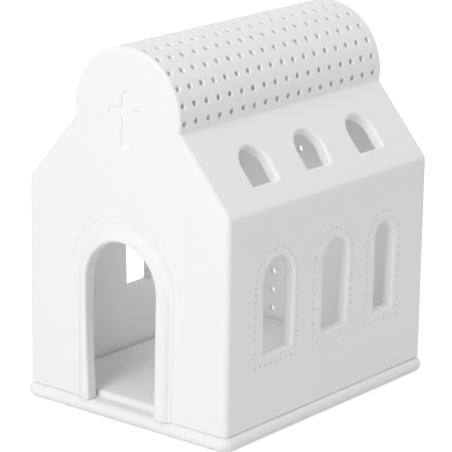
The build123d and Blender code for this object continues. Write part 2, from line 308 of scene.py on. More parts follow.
class Section:
    """The cross-section of the outer or inner skin, from the right wall's foot over the vault to the left
    wall's. It is lines and arcs that meet in line, so its heading runs evenly between the marks, and the
    place follows by adding up short steps along the heading. facing is 1 outside and -1 inside."""

    def __init__(self, inset, eave_round, facing):
        self.facing = facing
        lean = math.pi / 2 - ROOF_ANGLE
        out = np.array([math.cos(lean), math.sin(lean)])
        self.radius = VAULT_RADIUS - inset
        eave_drop = inset * (1 - math.sin(ROOF_ANGLE)) / math.cos(ROOF_ANGLE)
        eave = np.array([HALF_X - inset, EAVE_Z - eave_drop])
        centre = np.array([0.0, VAULT_Z])
        reach = out @ (eave - centre)
        valley = math.acos((reach + VALLEY_ROUND) / (self.radius + VALLEY_ROUND))
        self.vault_start = lean - valley
        start = np.array([math.cos(self.vault_start), math.sin(self.vault_start)])
        valley_foot = centre + (self.radius + VALLEY_ROUND) * start - VALLEY_ROUND * out
        eave_tangent = eave_round * math.tan(lean / 2)
        slope = (valley_foot - eave) @ np.array([-out[1], out[0]]) - eave_tangent
        wall = eave[1] - SEAT - eave_tangent
        rise = math.pi / 2 - self.vault_start
        lengths = [wall, eave_round * lean, slope, VALLEY_ROUND * valley, self.radius * rise]
        turns = [0, lean, 0, -valley, rise]
        self.marks = np.concatenate([[0], np.cumsum(lengths)])
        self.eave_mark = self.marks[2] - eave_tangent
        headings = math.pi / 2 + np.concatenate([[0], np.cumsum(turns)])
        run = np.union1d(np.arange(0, self.marks[-1], TABLE_STEP), self.marks)
        heading = np.interp(run, self.marks, headings)
        middle = (heading[1:] + heading[:-1]) / 2
        step = np.diff(run)
        x = eave[0] + np.concatenate([[0], np.cumsum(np.cos(middle) * step)])
        z = SEAT + np.concatenate([[0], np.cumsum(np.sin(middle) * step)])
        self.length = 2 * self.marks[-1]
        self.run = np.concatenate([run, self.length - run[-2::-1]])
        self.x = np.concatenate([x, -x[-2::-1]])
        self.z = np.concatenate([z, z[-2::-1]])
        self.heading = np.concatenate([heading, 2 * math.pi - heading[-2::-1]])

    def out(self, run):
        """Direction out of the cross-section, as x and z."""
        heading = np.interp(run, self.run, self.heading)
        return np.sin(heading), -np.cos(heading)

    def at(self, run, along):
        """Point of the skin at a run round the section and a place along Y, its normal out of the
        porcelain, and the directions in which the run and the place grow."""
        run, along = np.broadcast_arrays(run, along)
        x, z = np.interp(run, self.run, self.x), np.interp(run, self.run, self.z)
        out_x, out_z = self.out(run)
        zero = np.zeros_like(x)
        points = np.stack([x, along, z], -1)
        normals = self.facing * np.stack([out_x, zero, out_z], -1)
        along_run = np.stack([-out_z, zero, out_x], -1)
        return points, normals, along_run, np.broadcast_to((0.0, 1.0, 0.0), points.shape)

    def on_vault(self, degrees):
        """Run at an angle round the vault, counted from the right."""
        return self.marks[4] + self.radius * (np.radians(degrees) - self.vault_start)


outside = Section(0.0, EAVE_ROUND, 1)
inside = Section(WALL, INNER_EAVE_ROUND, -1)


def in_space(out, first, second):
    """Directions across and up a skin as directions in space."""
    return out[..., :1] * first + out[..., 1:] * second


def gable_place(plane_y, facing):
    """A gable's flat skin as a function of x and z."""
    def at(first, second):
        first, second = np.broadcast_arrays(first, second)
        points = np.stack([first, np.full(first.shape, plane_y), second], -1)
        ways = ((0.0, facing, 0.0), (1.0, 0.0, 0.0), (0.0, 0.0, 1.0))
        return points, *(np.broadcast_to(way, points.shape) for way in ways)
    return at


def rim_rows(at, outline, out, radius, steps):
    """Round lip of an opening, from the skin inwards: a quarter circle carried along the outline. A row at
    angle t lies radius * (1 - sin t) outside the outline and radius * (1 - cos t) deep."""
    angle = np.radians(np.linspace(0, 90, steps + 1))[:, None]
    outline, out = outline[..., None, :, :], out[..., None, :, :]
    shift = radius * (1 - np.sin(angle))
    place = outline + shift[..., None] * out
    points, normals, first, second = at(place[..., 0], place[..., 1])
    angle = angle[..., None]
    inward = in_space(out, first, second)
    sunk = points - normals * radius * (1 - np.cos(angle))
    return sunk, np.cos(angle) * normals - np.sin(angle) * inward, place[..., 0, :, :]


def lining(skin, places, outlines, out, lips, steps):
    """The inside of an opening: outer lip, straight wall and inner lip. Of each pair the first is for the
    outer skin and the second for the inner one. Gives the opening's edges on both."""
    outer, inner = (rim_rows(at, outline, out, lip, count)
                    for at, outline, lip, count in zip(places, outlines, lips, steps))
    outer_points, outer_normals, outer_edge = outer
    inner_points, inner_normals, inner_edge = inner
    points = np.concatenate([outer_points, inner_points[..., ::-1, :, :]], axis=-3)
    normals = np.concatenate([outer_normals, inner_normals[..., ::-1, :, :]], axis=-3)
    skin.add_grid(points, normals, closed=True)
    return list(outer_edge), list(inner_edge)


def enclosed(points, starts, ends):
    """Whether each point lies inside closed outlines, which is where a level line from it crosses their
    edges an odd number of times."""
    x, y = points[:, :1], points[:, 1:]
    x0, y0 = starts.T
    x1, y1 = ends.T
    rise = np.where(y1 == y0, 1.0, y1 - y0)
    crossings = ((y0 > y) != (y1 > y)) & (x < (x1 - x0) * (y - y0) / rise + x0)
    return crossings.sum(axis=1) % 2 == 1


def web(skin, at, border, holes, lines, spots):
    """The sheet of skin between its border and the openings. Triangles join the given points in the skin's
    own two directions, keep every edge and line, and are dropped in the holes and past the border. A
    triangle between points of one hole lies in it, except with the border or the first hole, the only ones
    that may be hollow in outline: there its middle tells."""
    loops = [border, *holes]
    coordinates = np.concatenate([*loops, *lines, spots])
    owner = np.full(len(coordinates), -1)
    edges, start = [], 0
    for number, chain in enumerate([*loops, *lines]):
        ring = start + np.arange(len(chain))
        pairs = np.column_stack([ring, np.roll(ring, -1)])
        if number < len(loops):
            owner[ring] = number
        else:
            pairs = pairs[:-1]
        edges += pairs.tolist()
        start += len(chain)
    flat = [Vector(pair) for pair in coordinates.tolist()]
    _, _, faces, sources, _, _ = delaunay_2d_cdt(flat, edges, [], 0, JOIN_WITHIN)
    source = np.array([max(group, key=lambda index: owner[index]) for group in sources])
    triangles = source[np.array(faces)]
    owners = owner[triangles]
    alone = (owners == owners[:, :1]).all(axis=1) & (owners[:, 0] >= 0)
    keep = ~alone
    corners = coordinates[triangles]
    middles = corners.mean(axis=1)
    for number, loop in enumerate(loops[:2]):
        mine = np.flatnonzero(alone & (owners[:, 0] == number))
        sides = corners[mine, 1:] - corners[mine, :1]
        area = np.abs(sides[:, 0, 0] * sides[:, 1, 1] - sides[:, 0, 1] * sides[:, 1, 0])
        within = enclosed(middles[mine], loop, np.roll(loop, -1, axis=0))
        keep[mine] = (within == (number == 0)) & (area > JOIN_WITHIN)
    points, normals = at(coordinates[:, 0], coordinates[:, 1])[:2]
    skin.add(points, normals, triangles[keep])


def circle_of(sides):
    """Points of a circle of radius 1, which are also its outward directions."""
    return around(np.linspace(0, 2 * math.pi, sides, endpoint=False))


def half_round(section, places):
    """Runs and places along Y where they come to lie when the house is turned half round."""
    return np.stack([section.length - places[..., 0], -places[..., 1]], -1)


house_skin = Skin()
outer_holes, inner_holes = [], []
both_at = (outside.at, inside.at)
nothing = np.zeros((0, 2))

# Windows of the walls and slopes. A wall window is its middle along Y, half width, height, and how far each
# side draws in towards the sill; a roof window is its middle and how far each side draws in.
SIDE_WINDOWS = ((-35.4, 9.7, 40.2, (1.0, 0.9)), (3.4, 8.5, 39.6, (1.3, 0.1)),
                (38.7, 6.6, 39.4, (0.7, -0.2)))
SIDE_SILL = 29.4
ROOF_WINDOWS = ((-35.8, (0.6, -0.3)), (0.7, (1.5, -0.6)), (36.9, (0.5, 0.0)))
ROOF_HALF_WIDTH = 8.0
ROOF_SILL = 10.6
ROOF_HEIGHT = 17.2
WINDOW_FOOT_ROUND = 0.9
SIDE_LIP = 1.15
ROOF_LIP = 1.4
WINDOW_INNER_LIP = 0.8
WINDOW_SPLAY = 0.35
WINDOW_CORNER_POINTS = 5
WINDOW_HEAD_STEPS = 28
WINDOW_LIP_STEPS = (6, 4)


def arched_outline(half_width, height, squeeze):
    """Outline of a window, as across and up from the middle of its sill, with outward directions: a round
    corner, the half-round head and the other round corner. Below the head each side draws in evenly towards
    the sill, by its own share of squeeze."""
    right_foot = np.linspace(-90, 0, WINDOW_CORNER_POINTS)
    head = np.linspace(0, 180, WINDOW_HEAD_STEPS + 1)
    left_foot = np.linspace(180, 270, WINDOW_CORNER_POINTS)
    angle = np.radians(np.concatenate([right_foot, head, left_foot]))
    foot_x, spring = half_width - WINDOW_FOOT_ROUND, height - half_width
    counts = [len(right_foot), len(head), len(left_foot)]
    radius = np.repeat([WINDOW_FOOT_ROUND, half_width, WINDOW_FOOT_ROUND], counts)
    middle_x = np.repeat([foot_x, 0, -foot_x], counts)
    middle_y = np.repeat([WINDOW_FOOT_ROUND, spring, WINDOW_FOOT_ROUND], counts)
    out = around(angle)
    outline = np.stack([middle_x, middle_y], -1) + radius[:, None] * out
    below = np.clip(1 - outline[:, 1] / spring, 0, 1)
    outline[:, 0] -= np.where(outline[:, 0] > 0, squeeze[0], -squeeze[1]) * below
    return outline, out


def both_sides(section, outlines, out):
    """Outlines on the right half, as run and place along Y, and their twins on the left half."""
    return np.concatenate([outlines, half_round(section, outlines)]), np.concatenate([out, -out])


def cut_window(middle, half_width, outer_sill, inner_sill, height, squeeze, lip):
    """A window and its twin, which is the same turned half round. Outside it is a little wider, on the side
    away from the door."""
    shape, out = arched_outline(half_width, height, squeeze)
    wide, _ = arched_outline(half_width + WINDOW_SPLAY, height, squeeze)
    shape, wide, out = shape[:, ::-1], wide[:, ::-1], out[:, ::-1]
    outer, out_both = both_sides(outside, (wide + (outer_sill, middle + WINDOW_SPLAY))[None], out[None])
    inner, _ = both_sides(inside, (shape + (inner_sill, middle))[None], out[None])
    lips = (lip, WINDOW_INNER_LIP)
    edges = lining(house_skin, both_at, (outer, inner), out_both, lips, WINDOW_LIP_STEPS)
    outer_holes.extend(edges[0])
    inner_holes.extend(edges[1])


for middle, half_width, height, squeeze in SIDE_WINDOWS:
    cut_window(middle, half_width, SIDE_SILL, SIDE_SILL, height, squeeze, SIDE_LIP)
slope_shift = WALL * math.tan((math.pi / 2 - ROOF_ANGLE) / 2)
for middle, squeeze in ROOF_WINDOWS:
    sill = outside.eave_mark + ROOF_SILL
    inner_sill = inside.eave_mark + ROOF_SILL - slope_shift
    cut_window(middle, ROOF_HALF_WIDTH, sill, inner_sill, ROOF_HEIGHT, squeeze, ROOF_LIP)

# Holes of the vault
HOLE_ROWS = np.arange(0, 181, 15)
HOLES_IN_ROW = 18
HOLE_PITCH = 7.5
FIRST_HOLE = -65.1
HOLE_RADIUS = 1.16
HOLE_INNER_SHARE = 0.78
HOLE_SIDES = 16
HOLE_LIP = 0.68
HOLE_INNER_LIP = 0.4
HOLE_LIP_STEPS = (3, 1)
HOLE_WANDER = 0.13
HOLE_SPREAD = 0.05
LAST_SQUEEZE = 0.25
PIT_DEPTH = 3.0
PIT_RINGS = (1.0, 0.8, 0.0)
PIT_TILTS = (1.0, 0.3, 0.0)
HAND_SEED = 7

hand = np.random.default_rng(HAND_SEED)
row_angle, column = np.meshgrid(HOLE_ROWS, np.arange(HOLES_IN_ROW), indexing="ij")
wander = hand.uniform(-HOLE_WANDER, HOLE_WANDER, (2, *row_angle.shape))
wander[1, :, 0] = np.abs(wander[1, :, 0])
size = HOLE_RADIUS * (1 + hand.uniform(-HOLE_SPREAD, HOLE_SPREAD, row_angle.shape))
size[:, 0] = np.minimum(size[:, 0], HOLE_RADIUS)
along = FIRST_HOLE + HOLE_PITCH * column + wander[1]
circle = circle_of(HOLE_SIDES)
ring = size[..., None, None] * circle
rings = []
for section, share in ((outside, 1.0), (inside, HOLE_INNER_SHARE)):
    middle = np.stack([section.on_vault(row_angle) + wander[0], along], -1)[:, :, None, :]
    rings.append(middle + share * ring)

# Inside, the far half of each row's last hole is squeezed, to stay clear of the back wall
last = rings[1][:, -1, :, 1]
last_middle = along[:, -1:]
squeezed = last_middle + LAST_SQUEEZE * (last - last_middle)
rings[1][:, -1, :, 1] = np.where(last > last_middle, squeezed, last)
through = [part[:, 1:].reshape(-1, HOLE_SIDES, 2) for part in rings]
hole_out = np.broadcast_to(circle, through[0].shape)
hole_lips = (HOLE_LIP, HOLE_INNER_LIP)
edges = lining(house_skin, both_at, through, hole_out, hole_lips, HOLE_LIP_STEPS)
outer_holes.extend(edges[0])
inner_holes.extend(edges[1])

# The first hole of each row lies over the gable's wall and is a pit in it
pit = rings[0][:, 0]
pit_out = np.broadcast_to(circle, pit.shape)
lip_points, lip_normals, pit_edge = rim_rows(outside.at, pit, pit_out, HOLE_LIP, HOLE_LIP_STEPS[0])
pit_middle = pit.mean(axis=1, keepdims=True)
share = np.array(PIT_RINGS)[:, None, None]
place = pit_middle[:, None] + share * (pit - pit_middle)[:, None]
floor_points, out_of, first, second = outside.at(place[..., 0], place[..., 1])
sink = np.array([PIT_DEPTH - HOLE_LIP, PIT_DEPTH, PIT_DEPTH])[:, None, None]
inward = in_space(circle, first, second)
tilt = np.array(PIT_TILTS)[:, None, None]
floor_normals = unit((1 - tilt) * out_of - tilt * inward)
house_skin.add_grid(np.concatenate([lip_points, floor_points - sink * out_of], axis=1),
                    np.concatenate([lip_normals, floor_normals], axis=1), closed=True)
outer_holes.extend(list(pit_edge))

# Dots pricked round the wall windows, in frames given by their middle along Y and half width
DOT_FRAMES = ((-36.5, 13.7), (2.1, 13.05), (37.8, 11.4))
DOT_FOOT = 25.25
DOT_HEAD = 73.4
DOT_PITCH = 3.25
DOT_RADIUS = 0.9
DOT_DEPTH = 0.8
DOT_SIDES = 10
DOT_RINGS = (1.0, 0.75, 0.5, 0.25, 0.0)
DOT_WANDER = 0.04


def dot_middles(middle, half_width):
    """Even dots up one side, round the half-round head, down the other side and along the foot."""
    spring = DOT_HEAD - half_width
    near, far = middle - half_width, middle + half_width
    corners = np.array([(DOT_FOOT, near), (spring, near), (spring, far), (DOT_FOOT, far)])
    runs = []
    for start, end in (corners[[0, 1]], corners[[2, 3]], corners[[3, 0]]):
        steps = round(math.dist(start, end) / DOT_PITCH)
        runs.append(start + np.arange(steps)[:, None] / steps * (end - start))
    steps = round(math.pi * half_width / DOT_PITCH)
    angle = math.pi * np.arange(steps) / steps
    runs.append(np.stack([spring + half_width * np.sin(angle), middle - half_width * np.cos(angle)], -1))
    return np.concatenate(runs)


dots = np.concatenate([dot_middles(*dot_frame) for dot_frame in DOT_FRAMES])
dots = np.concatenate([dots, half_round(outside, dots)])
dots += hand.uniform(-DOT_WANDER, DOT_WANDER, dots.shape)
circle = circle_of(DOT_SIDES)
reach = np.array(DOT_RINGS)[:, None, None]
dot_place = dots[:, None, None, :] + DOT_RADIUS * reach * circle
points, normals, first, second = outside.at(dot_place[..., 0], dot_place[..., 1])
sink = DOT_DEPTH / 2 * (1 + np.cos(math.pi * reach))
steepness = DOT_DEPTH / 2 * math.pi / DOT_RADIUS * np.sin(math.pi * reach)
away = in_space(circle, first, second)
house_skin.add_grid(points - sink * normals, unit(normals - steepness * away), closed=True)
outer_holes.extend(list(dot_place[:, 0]))


# Doorway and its raised surround. Each of its three arches is its half width at the foot and at the spring,
# the spring's height over the seat, and how far its middle lies to the right of the door's.
DOOR_X = -1.4
DOOR_CURVES = ((18.4, 18.9, 53.1, 0.0), (23.7, 24.3, 51.9, 1.2), (27.0, 28.0, 54.0, 0.0))
JAMB_HEIGHTS = np.concatenate([FOOT_ROWS, [3.5, 8, 16, 24, 32, 40, 46]])
ARCH_STEPS = 44
ROLL_PROUD = 2.2
DOOR_FRONT = -HALF_Y - ROLL_PROUD
DOOR_LIP = 1.3
DOOR_INNER_LIPS = (2.5, 1.1)
LIP_CHANGE = (38.0, 50.0)
LEFT_SWELL = 1.2
SWELL_TOP = 35.0
SWELL_POWER = 1.5
FLANK_IN = (-1.2, -2.4)
FLANK_OUT = (0.6, 1.6)
FLANK_CHANGE = (44.0, 66.0)
GROOVE_DEPTHS = (0.3, 0.0)
GROOVE_WIDTH = 0.45
STEP_INNER_PROUD = 0.65
STEP_OUTER_PROUD = 0.3
SEAM_DEPTHS = (0.1, 0.55)
SEAM_HALF = 0.65


def door_curve(number):
    """One arch of the doorway from its right foot to its left foot, with outward directions."""
    foot, half_width, spring, aside = DOOR_CURVES[number]
    jamb_z = np.append(JAMB_HEIGHTS, spring)
    jamb_x = foot + (half_width - foot) * jamb_z / spring
    angle = np.linspace(0, math.pi, ARCH_STEPS + 1)[1:-1]
    head = (0, spring) + half_width * around(angle)
    swell = (LEFT_SWELL if number == 0 else 0) * np.clip(1 - jamb_z / SWELL_TOP, 0, 1) ** SWELL_POWER
    right, left = np.stack([jamb_x, jamb_z], -1), np.stack([swell - jamb_x, jamb_z], -1)[::-1]
    place = np.concatenate([right, head, left])
    aside_out = np.tile((1.0, 0.0), (len(jamb_z), 1))
    out = np.concatenate([aside_out, around(angle), -aside_out])
    return place + (DOOR_X + aside, SEAT), out


def smooth(share):
    """A share that leaves 0 and meets 1 in line: three times its square less twice its cube."""
    return share**2 * (3 - 2 * share)


def s_curve(start, end, low, high, steps):
    """Rows across a flank that leaves one level and meets the other in line: offset, level and slope."""
    share = np.linspace(0, 1, steps + 1)[:, None]
    offset = start + (end - start) * share
    level = low + (high - low) * smooth(share)
    slope = (high - low) / (end - start) * 6 * share * (1 - share)
    return offset, level, slope


def eased(place, change, ends):
    """A value at each height above the seat: the first end below the change, the second above it."""
    share = np.clip((place[:, 1] - SEAT - change[0]) / (change[1] - change[0]), 0, 1)
    return ends[0] + (ends[1] - ends[0]) * smooth(share)


curves = [door_curve(number) for number in range(3)]
lip = eased(curves[0][0], LIP_CHANGE, DOOR_INNER_LIPS)
on_left = curves[1][1][:, 0] < 0
flank_in, flank_out, groove_depth = (np.where(on_left, ends[1], eased(curves[1][0], FLANK_CHANGE, ends))
                                     for ends in (FLANK_IN, FLANK_OUT, GROOVE_DEPTHS))
door_rows = []
for c, s in arc_steps(0, 90):
    door_rows.append((0, lip * (1 - s), WALL - HALF_Y - lip * (1 - c), -s, c, 0))
for c, s in arc_steps(90, 0):
    door_rows.append((0, DOOR_LIP * (1 - s), DOOR_FRONT + DOOR_LIP * (1 - c), -s, -c, 0))
step_inner, step_outer = -HALF_Y - STEP_INNER_PROUD, -HALF_Y - STEP_OUTER_PROUD
groove = step_inner + groove_depth
seam = -HALF_Y + eased(curves[2][0], FLANK_CHANGE, SEAM_DEPTHS)
flanks = ((1, flank_in, flank_out, DOOR_FRONT, groove),
          (1, flank_out, flank_out + GROOVE_WIDTH, groove, step_inner),
          (2, -SEAM_HALF, 0.0, step_outer, seam),
          (2, 0.0, SEAM_HALF, seam, -HALF_Y))
for curve, start, end, low, high in flanks:
    for offset, level, slope in zip(*s_curve(start, end, low, high, ROUND_STEPS)):
        length = np.hypot(1, slope)
        door_rows.append((curve, offset, level, slope / length, -1 / length, 1))
points, normals, push = [], [], []
for number, offset, level, outward, forward, on_front in door_rows:
    place, out = curves[number]
    place = place + np.broadcast_to(offset, len(out))[:, None] * out
    points.append(np.stack([place[:, 0], np.broadcast_to(level, len(place)), place[:, 1]], -1))
    ahead = np.broadcast_to(forward, len(place))
    normals.append(np.stack([out[:, 0] * outward, ahead, out[:, 1] * outward], -1))
    front = np.broadcast_to((0.0, -1.0, 0.0), points[-1].shape)
    push.append(front if on_front else normals[-1])
points, normals, push = np.array(points), np.array(normals), np.array(push)
door_inner_edge = points[0][:, [0, 2]]
door_outer_edge = points[-1][:, [0, 2]]


def round_foot(points, normals, push):
    """Rounds the wall's foot: at height h a point draws back by R - sqrt(R^2 - (R - h)^2) against push."""
    rise = np.clip((points[..., 2] - SEAT) / FOOT_ROUND, 0, 1)[..., None]
    down = 1 - rise
    level = np.sqrt(np.clip(1 - down**2, 0, 1))
    back = unit(push * (1.0, 1.0, 0.0)) * FOOT_ROUND * (1 - level)
    return points - back, unit(normals * level - down * np.array([0.0, 0.0, 1.0]))


house_skin.add_grid(*round_foot(points, normals, push))

# Cross pressed into the gable. Each arm is its reach from the middle and its half width.
CROSS_X = -0.5
CROSS_Z = 132.1
CROSS_ARMS = ((9.05, 1.9), (9.0, 2.15), (9.05, 1.9), (14.9, 2.15))
CROSS_INNER_ROUND = 0.75
CROSS_LIP = 0.52
CROSS_DEPTH = 2 * CROSS_LIP
CROSS_STEPS = 4


def cross_outline():
    """Outline of the cross: each arm ends in a half circle, and a small arc joins it to the next one."""
    places, outs = [], []
    for number, (reach, half) in enumerate(CROSS_ARMS):
        turn = number * math.pi / 2
        along = np.array([math.cos(turn), math.sin(turn)])
        beside = np.array([-math.sin(turn), math.cos(turn)])
        angle = np.linspace(-math.pi / 2, math.pi / 2, 3 * CROSS_STEPS + 1)[:, None]
        out = np.cos(angle) * along + np.sin(angle) * beside
        places.append((reach - half) * along + half * out)
        outs.append(out)
        next_half = CROSS_ARMS[(number + 1) % 4][1]
        corner = (next_half + CROSS_INNER_ROUND) * along + (half + CROSS_INNER_ROUND) * beside
        angle = np.linspace(0, math.pi / 2, CROSS_STEPS + 1)[:, None]
        out = np.cos(angle) * beside + np.sin(angle) * along
        places.append(corner - CROSS_INNER_ROUND * out)
        outs.append(out)
    return np.concatenate(places) + (CROSS_X, CROSS_Z), np.concatenate(outs)


front_at = gable_place(-HALF_Y, -1.0)
cross, cross_out = cross_outline()
lip_points, lip_normals, cross_edge = rim_rows(front_at, cross, cross_out, CROSS_LIP, CROSS_STEPS)
floor_at = gable_place(-HALF_Y + CROSS_DEPTH, -1.0)
angle = np.radians(np.linspace(90, 0, CROSS_STEPS))[:, None, None]
inset = CROSS_LIP * (1 - np.sin(angle))
base = cross - inset * cross_out
base_points, flat_normals, first, second = floor_at(base[..., 0], base[..., 1])
base_points = base_points + flat_normals * CROSS_LIP * (1 - np.cos(angle))
inward = in_space(cross_out, first, second)
base_normals = np.cos(angle) * flat_normals - np.sin(angle) * inward
house_skin.add_grid(np.concatenate([lip_points, base_points]),
                    np.concatenate([lip_normals, base_normals]), closed=True)
web(house_skin, floor_at, base[-1], [], [], nothing)

# Holes of the back wall: two columns joined by an arch, whose holes are given by their angle
BACK_RADIUS = 2.9
BACK_INNER_RADIUS = 1.55
BACK_SIDES = 24
BACK_LIP = 0.5
BACK_LIP_STEPS = (5, 3)
BACK_IN_COLUMN = 7
BACK_TURNS = (24, 48, 72, 92.5, 118, 140, 160)
BACK_REACH = 26.0
BACK_TOP_HOLE = 65.7
BACK_SPRING = 67.5
BACK_PITCH = 8.9
column_z = BACK_TOP_HOLE - BACK_PITCH * np.arange(BACK_IN_COLUMN)
column = np.stack([np.full(BACK_IN_COLUMN, BACK_REACH), column_z], -1)
back_arch = (0, BACK_SPRING) + BACK_REACH * around(np.radians(BACK_TURNS))
back_middle = np.concatenate([column, column * (-1, 1), back_arch])[:, None, :]
back_middle = back_middle + hand.uniform(-HOLE_WANDER, HOLE_WANDER, back_middle.shape)
circle = circle_of(BACK_SIDES)
back_rings = [back_middle + radius * circle for radius in (BACK_RADIUS, BACK_INNER_RADIUS)]
back_out = np.broadcast_to(circle, back_rings[0].shape)
back_at = (gable_place(HALF_Y, 1.0), gable_place(HALF_Y - WALL, -1.0))
back_edges = lining(house_skin, back_at, back_rings, back_out, (BACK_LIP, BACK_LIP), BACK_LIP_STEPS)


# Walls, slopes, vault and gables between the openings. Rows of lines and points on the vault are given in
# degrees from a row of holes.
ROUND_LINES = 7
SLOPE_LINES = 9
VAULT_LINE_POINTS = 37
BETWEEN_ROWS = (5.2, 7.5, 9.8)
NEAR_ROW = (-1.5, 1.5)
BESIDE_ROW = (-2.4, 0, 2.4)
VALLEY_MARGIN = 2
VAULT_MARGIN = 1
ROUNDING = 9


def stations(section):
    """Runs at which the skin has a line along Y: at foot, eave and valley, and between rows of holes."""
    eave = np.linspace(section.marks[1], section.marks[2], ROUND_LINES)
    valley = np.linspace(section.marks[3], section.marks[4], ROUND_LINES)
    between = (HOLE_ROWS[:-1, None] + np.array(BETWEEN_ROWS)).ravel()
    rows = section.on_vault(np.concatenate([[-BETWEEN_ROWS[0]], between[between < 90]]))
    half = np.concatenate([FOOT_ROWS, eave, valley, rows])
    return np.concatenate([half, section.length - half[::-1]])


def end_round(section, run, wall_round, vault_round):
    """Radius of the gable's edge: it eases from the wall's to the vault's across the valley."""
    half = np.minimum(run, section.length - run)
    start, end = section.marks[3] - VALLEY_MARGIN, section.marks[4] + VALLEY_MARGIN
    return wall_round + (vault_round - wall_round) * smooth(np.clip((half - start) / (end - start), 0, 1))


def close_skin(section, inset, wall_round, vault_round, holes, fronts):
    """The sheet round the house, its rounded ends and both gables. fronts holds for each gable its side,
    the notch of the doorway and its holes."""
    lines_at = stations(section)
    rows = section.on_vault(HOLE_ROWS[:, None] + np.array(NEAR_ROW)).ravel()
    slope = np.linspace(section.marks[2], section.marks[3], SLOPE_LINES)[1:-1]
    extra = np.concatenate([rows, slope, section.length - slope])
    borders = np.unique(np.round(np.concatenate([lines_at, extra]), ROUNDING))
    edge_y = HALF_Y - inset
    rounds = end_round(section, borders, wall_round, vault_round)
    near = np.stack([borders, rounds - edge_y], -1)
    far = np.stack([borders, edge_y - rounds], -1)
    border = np.concatenate([near, far[::-1]])
    lines = []
    for run in np.round(lines_at, ROUNDING):
        end = edge_y - end_round(section, run, wall_round, vault_round)
        on_vault = section.marks[4] - VAULT_MARGIN < min(run, section.length - run)
        along = np.linspace(-end, end, VAULT_LINE_POINTS if on_vault else 2)
        lines.append(np.stack([np.full(len(along), run), along], -1))
    gaps = FIRST_HOLE + HOLE_PITCH * (np.arange(HOLES_IN_ROW - 1) + 0.5)
    spots_at = section.on_vault(HOLE_ROWS[:, None] + np.array(BESIDE_ROW)).ravel()
    spots = np.stack(np.meshgrid(spots_at, gaps), -1).reshape(-1, 2)
    sheet = Skin()
    web(sheet, section.at, border, holes, lines, spots)
    cosine, sine = arc_steps(0, 90, ROUND_STEPS - 1).T
    points, normals, *_ = section.at(borders, 0.0)
    for side in (-1, 1):
        drop = (1 - cosine)[:, None] * rounds
        out_points = points - section.facing * normals * drop[..., None]
        out_points[..., 1] = side * (edge_y - rounds * (1 - sine)[:, None])
        endways = section.facing * side * sine[:, None, None] * np.array([0, 1.0, 0])
        sheet.add_grid(out_points, normals * cosine[:, None, None] + endways)
    outline = (points - section.facing * normals * rounds[:, None])[:, [0, 2]]
    for side, notch, gable_holes in fronts:
        foot_lines = []
        for number in range(1, len(FOOT_ROWS)):
            ends = [outline[number], outline[-1 - number]]
            if len(notch):
                foot_lines += [np.array([ends[0], notch[number]]), np.array([notch[-1 - number], ends[1]])]
            else:
                foot_lines.append(np.array(ends))
        gable = np.concatenate([outline, notch[::-1]]) if len(notch) else outline
        gable_at = gable_place(side * edge_y, section.facing * float(side))
        web(sheet, gable_at, gable, gable_holes, foot_lines, nothing)
    for points, normals in zip(sheet.points, sheet.normals):
        points, normals = round_foot(points, normals, normals)
        house_skin.points.append(points)
        house_skin.normals.append(normals)
    house_skin.triangles += [triangles + house_skin.count for triangles in sheet.triangles]
    house_skin.count += sheet.count


close_skin(outside, 0.0, CORNER_ROUND, VAULT_END_ROUND, outer_holes,
           ((-1, door_outer_edge, [cross_edge]), (1, nothing, back_edges[0])))
close_skin(inside, WALL, INNER_CORNER_ROUND, INNER_END_ROUND, inner_holes,
           ((-1, door_inner_edge, []), (1, nothing, back_edges[1])))

# Underside of the walls. What is still open is the line round the foot, and the flat strip inside it is the
# seat. An edge is open where only one triangle uses it.
points, _, triangles = house_skin.welded()
edges = np.sort(triangles[:, [0, 1, 1, 2, 2, 0]].reshape(-1, 2), axis=1)
pairs, uses = np.unique(edges, axis=0, return_counts=True)
foot, open_edges = np.unique(pairs[uses == 1], return_inverse=True)
open_edges = open_edges.reshape(-1, 2)
foot_place = points[foot, :2]
flat = [Vector(pair) for pair in foot_place.tolist()]
_, _, faces, sources, _, _ = delaunay_2d_cdt(flat, open_edges.tolist(), [], 0, JOIN_WITHIN)
seat = np.array([group[0] for group in sources])[np.array(faces)]
starts, ends = foot_place[open_edges].swapaxes(0, 1)
within = enclosed(foot_place[seat].mean(axis=1), starts, ends)
house_skin.add(points[foot], np.tile((0.0, 0.0, -1.0), (len(foot), 1)), seat[within])
house_shell = house_skin.piece("porcelain_house", porcelain)
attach(house_shell, "house")
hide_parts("house_shell")

# Tealight cup
# A cup drawn from thin aluminium sheet, bright and open at the top, with its rim rolled over into a bead.
# It stands loose on the pad, and the candle's other pieces stand in it.
CUP_Y = -12.8
CUP_RADIUS = 18.775
CUP_HEIGHT = 16.0
CUP_SHEET = 0.4
CUP_BEAD = 0.45
CUP_FOOT_ROUND = 1.0
CUP_MIDDLE = 8
BEAD_STEPS = 12
TURN_STEPS = 96
ALUMINIUM_DARK = (0.74, 0.745, 0.755, 1)
ALUMINIUM_LIGHT = (0.86, 0.865, 0.875, 1)
STREAK_SCALE = 420.0
STREAK_STRETCH = 0.02
STREAK_BUMP = (0.35, 0.0002)
DULLING_SCALE = 160.0
CUP_ROUGHNESS = 0.24
DULLING_SPREAD = 0.16
STREAK_SPREAD = 0.1


def arc(middle_r, middle_z, radius, start, end, steps=ROUND_STEPS):
    """Points of an arc in a turned profile, as distance from the axis and height."""
    return list((middle_r, middle_z) + radius * arc_steps(start, end, steps))


